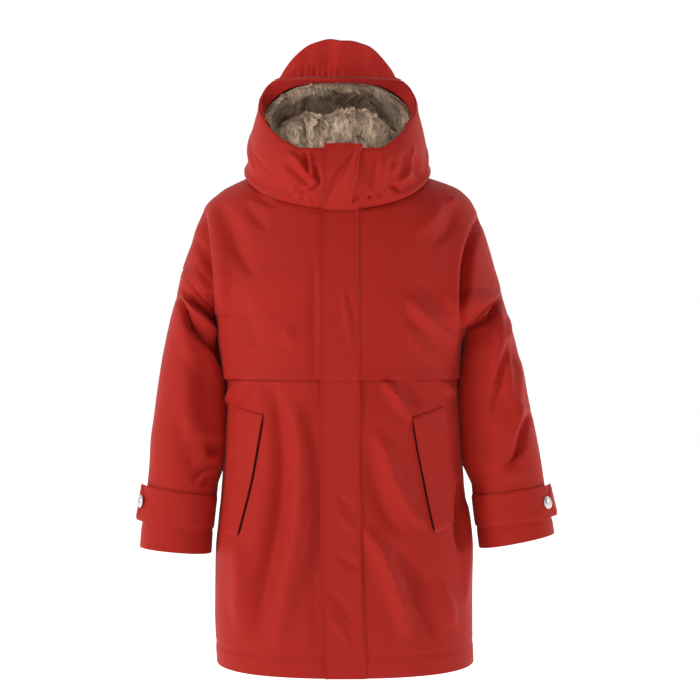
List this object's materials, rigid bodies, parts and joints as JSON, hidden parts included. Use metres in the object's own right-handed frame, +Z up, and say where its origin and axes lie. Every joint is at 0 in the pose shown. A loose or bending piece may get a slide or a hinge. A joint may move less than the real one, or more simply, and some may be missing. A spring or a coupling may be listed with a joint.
{
  "type": "hooded raincoat",
  "caption": "Child's knee-length hooded raincoat with a fur-lined hood, storm yoke, covered front, slanted pockets and cuff tabs, filled out as when worn.",
  "frame": {"origin": "on the middle line of the coat between the tops of the shoulders, where the wearer's shoulders hold it up", "axes": "+Z up, the front faces -Y, the wearer's left is +X"},
  "size_m": [0.5774, 0.2407, 0.8491],
  "materials": {
    "shell": "matte waterproof red weave",
    "facing": "matte dark red weave",
    "fur": "short brown pile",
    "snap": "satin silver cap"
  },
  "bodies": {
    "root": {"back": "shell", "yoke_right": "shell", "yoke_left": "shell", "front_right": "shell", "front_left": "shell", "sleeve_right": "shell", "sleeve_left": "shell", "strap_right": "shell", "strap_left": "shell", "snap_right": "snap", "snap_left": "snap", "placket_collar": "shell", "placket_chest": "shell", "placket_skirt": "shell", "welt_right": "shell", "welt_left": "shell", "hood_right": "shell", "hood_left": "shell", "hood_centre": "shell", "visor": "shell", "hood_facing": "facing", "hood_lining": "fur", "lining_fold": "fur"}
  },
  "joints": []
}
